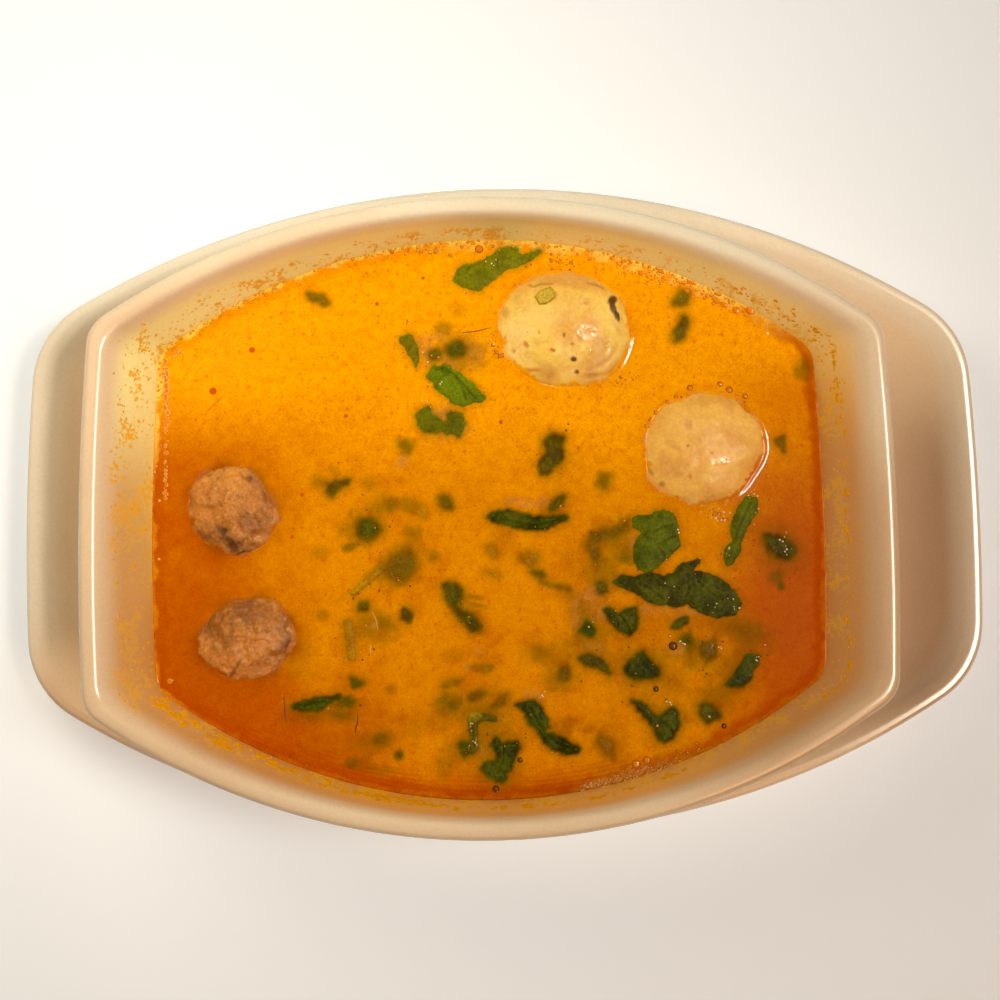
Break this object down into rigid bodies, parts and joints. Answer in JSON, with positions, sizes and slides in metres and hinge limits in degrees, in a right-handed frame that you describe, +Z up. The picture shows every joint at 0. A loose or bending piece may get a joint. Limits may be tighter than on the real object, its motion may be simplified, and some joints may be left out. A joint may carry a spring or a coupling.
{
  "type": "bowl of coconut soup",
  "caption": "Orange coconut soup with fish balls, meatballs and chopped herbs in a barrel-shaped porcelain bowl on a matching tray.",
  "frame": {"origin": "middle of the tray's underside, on the surface that it stands on", "axes": "+X along the length, +Y across to the far long side, +Z up"},
  "size_m": [0.2588, 0.1754, 0.0553],
  "materials": {
    "porcelain_tray": "glossy cream-white glaze",
    "porcelain_bowl": "glossy cream-white glaze",
    "coconut_soup": "wet orange-yellow coconut soup with a thin film of red oil",
    "fish_ball": "moist pale yellow, slightly uneven",
    "meatball": "moist brown, rough and torn",
    "herb_leaf": "wet dark green leaf",
    "herb_stem": "wet olive green stem"
  },
  "bodies": {
    "root": {"tray": "porcelain_tray", "bowl": "porcelain_bowl", "soup": "coconut_soup", "fish_ball_1": "fish_ball", "fish_ball_2": "fish_ball", "meatball_1": "meatball", "meatball_2": "meatball", "leaf_top": "herb_leaf", "leaf_cut": "herb_leaf", "leaf_pair": "herb_leaf", "leaf_sliver": "herb_leaf", "leaf_hook": "herb_leaf", "leaf_oval": "herb_leaf", "leaf_pale": "herb_leaf", "leaf_middle": "herb_leaf", "leaf_upright": "herb_leaf", "leaf_bar": "herb_leaf", "leaf_arch": "herb_leaf", "leaf_broad": "herb_leaf", "leaf_great": "herb_leaf", "leaf_spoon": "herb_leaf", "leaf_right": "herb_leaf", "leaf_vee": "herb_leaf", "leaf_wedge": "herb_leaf", "leaf_thin": "herb_leaf", "leaf_low_vee": "herb_leaf", "leaf_right_low": "herb_leaf", "leaf_olive": "herb_leaf", "leaf_left_low": "herb_leaf", "leaf_long": "herb_leaf", "leaf_front": "herb_leaf", "stem_left": "herb_stem", "stem_upright": "herb_stem", "stem_front": "herb_stem"}
  },
  "joints": []
}
